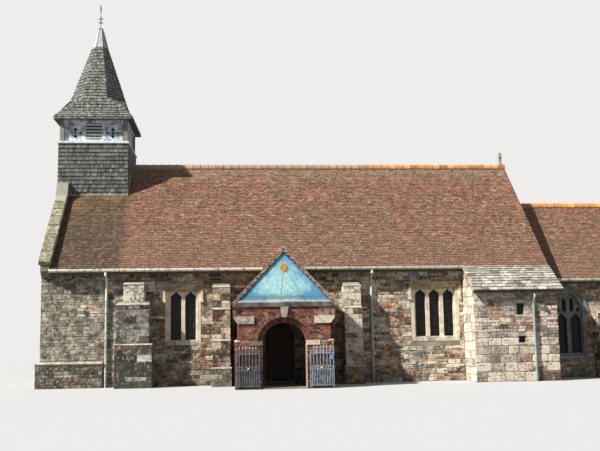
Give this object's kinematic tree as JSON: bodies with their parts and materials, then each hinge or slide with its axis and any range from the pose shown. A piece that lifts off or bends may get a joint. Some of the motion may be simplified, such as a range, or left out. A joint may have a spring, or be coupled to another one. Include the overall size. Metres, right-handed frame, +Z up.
{
  "type": "parish church",
  "caption": "Small rubble-stone parish church with a shingled bell turret and spire, a lower chancel, and a gabled brick porch closed by iron gates.",
  "frame": {"origin": "ground level in the middle of the porch arch, on the porch's front face", "axes": "+X east along the nave, +Y north from the porch into the nave, +Z up"},
  "size_m": [27.57, 12.9955, 16.4767],
  "materials": {
    "rubble_stone": "rough coursed rubble with ironstone and brick patches",
    "buttress_stone": "rough squared stone",
    "coping_stone": "weathered, lichened",
    "clay_tiles": "weathered plain clay tiles",
    "porch_tiles": "weathered plain clay tiles",
    "ridge_clay": "half-round clay ridge tiles",
    "flagstone": "worn stone",
    "stone_slates": "rough stone slates",
    "oak_shingles": "silvered oak shingles",
    "belfry_boards": "worn painted boards",
    "lead": "dull lead sheet",
    "dark_iron": "forged, painted",
    "gilt_vane": "weathered gilding",
    "gilt_dial": "gilded",
    "porch_brick": "handmade red brick",
    "porch_dressing": "dressed stone",
    "blue_panel": "painted render",
    "gate_paint": "blue-grey paint, worn",
    "door_oak": "boarded oak",
    "window_stone": "dressed yellow limestone",
    "tracery_stone": "dressed limestone",
    "glass": "leaded window glass",
    "gutter_paint": "off-white paint"
  },
  "bodies": {
    "root": {"nave_south_wall_west": "rubble_stone", "nave_south_wall_east": "rubble_stone", "nave_doorway": "rubble_stone", "nave_north_wall": "rubble_stone", "nave_west_wall": "rubble_stone", "nave_east_wall": "rubble_stone", "west_coping": "coping_stone", "west_plinth": "buttress_stone", "buttresses_south": "buttress_stone", "buttresses_north": "buttress_stone", "nave_roof_south": "clay_tiles", "nave_roof_north": "clay_tiles", "ridge_tiles": "ridge_clay", "ridge_cross": "coping_stone", "nave_floor": "flagstone", "chancel_south_wall": "rubble_stone", "chancel_north_wall": "rubble_stone", "chancel_east_wall": "rubble_stone", "chancel_buttresses": "buttress_stone", "chancel_roof_south": "clay_tiles", "chancel_roof_north": "clay_tiles", "chancel_floor": "flagstone", "stair_bay_walls": "rubble_stone", "stair_bay_roof": "stone_slates", "turret_walls": "oak_shingles", "turret_sill_band": "lead", "belfry_stage": "belfry_boards", "belfry_louvres": "belfry_boards", "spire": "oak_shingles", "spire_lead_cap": "lead", "spire_finial": "dark_iron", "porch_piers": "porch_brick", "porch_arch_wall": "porch_brick", "porch_dressings": "porch_dressing", "porch_cornice": "porch_dressing", "porch_gable_panel": "blue_panel", "sundial_gnomon": "gilt_dial", "porch_side_walls": "porch_brick", "porch_roof_west": "porch_tiles", "porch_roof_east": "porch_tiles", "porch_floor": "flagstone", "gate_pintles": "dark_iron", "door_pintles": "dark_iron", "nave_window_frames": "window_stone", "chancel_window_frames": "tracery_stone", "window_glass": "glass", "gutters": "gutter_paint", "downpipes": "gutter_paint"},
    "gate_west_leaf": {"gate_west": "gate_paint"},
    "gate_east_leaf": {"gate_east": "gate_paint"},
    "inner_door": {"nave_door": "door_oak"},
    "vane": {"weathercock": "gilt_vane"}
  },
  "joints": [
    {"name": "gate_west_hinge", "type": "hinge", "parent": "root", "child": "gate_west_leaf", "pos_m": [-0.845, -0.075, 0.6], "axis": [0, 0, 1], "range_deg": [0, 180]},
    {"name": "gate_east_hinge", "type": "hinge", "parent": "root", "child": "gate_east_leaf", "pos_m": [0.845, -0.075, 0.6], "axis": [0, 0, -1], "range_deg": [0, 180]},
    {"name": "inner_door_hinge", "type": "hinge", "parent": "root", "child": "inner_door", "pos_m": [-0.64, 3.15, 1], "axis": [0, 0, 1], "range_deg": [0, 95]},
    {"name": "vane_turn", "type": "hinge", "parent": "root", "child": "vane", "pos_m": [-7.52, 7.27, 16], "axis": [0, 0, 1], "continuous": true}
  ]
}
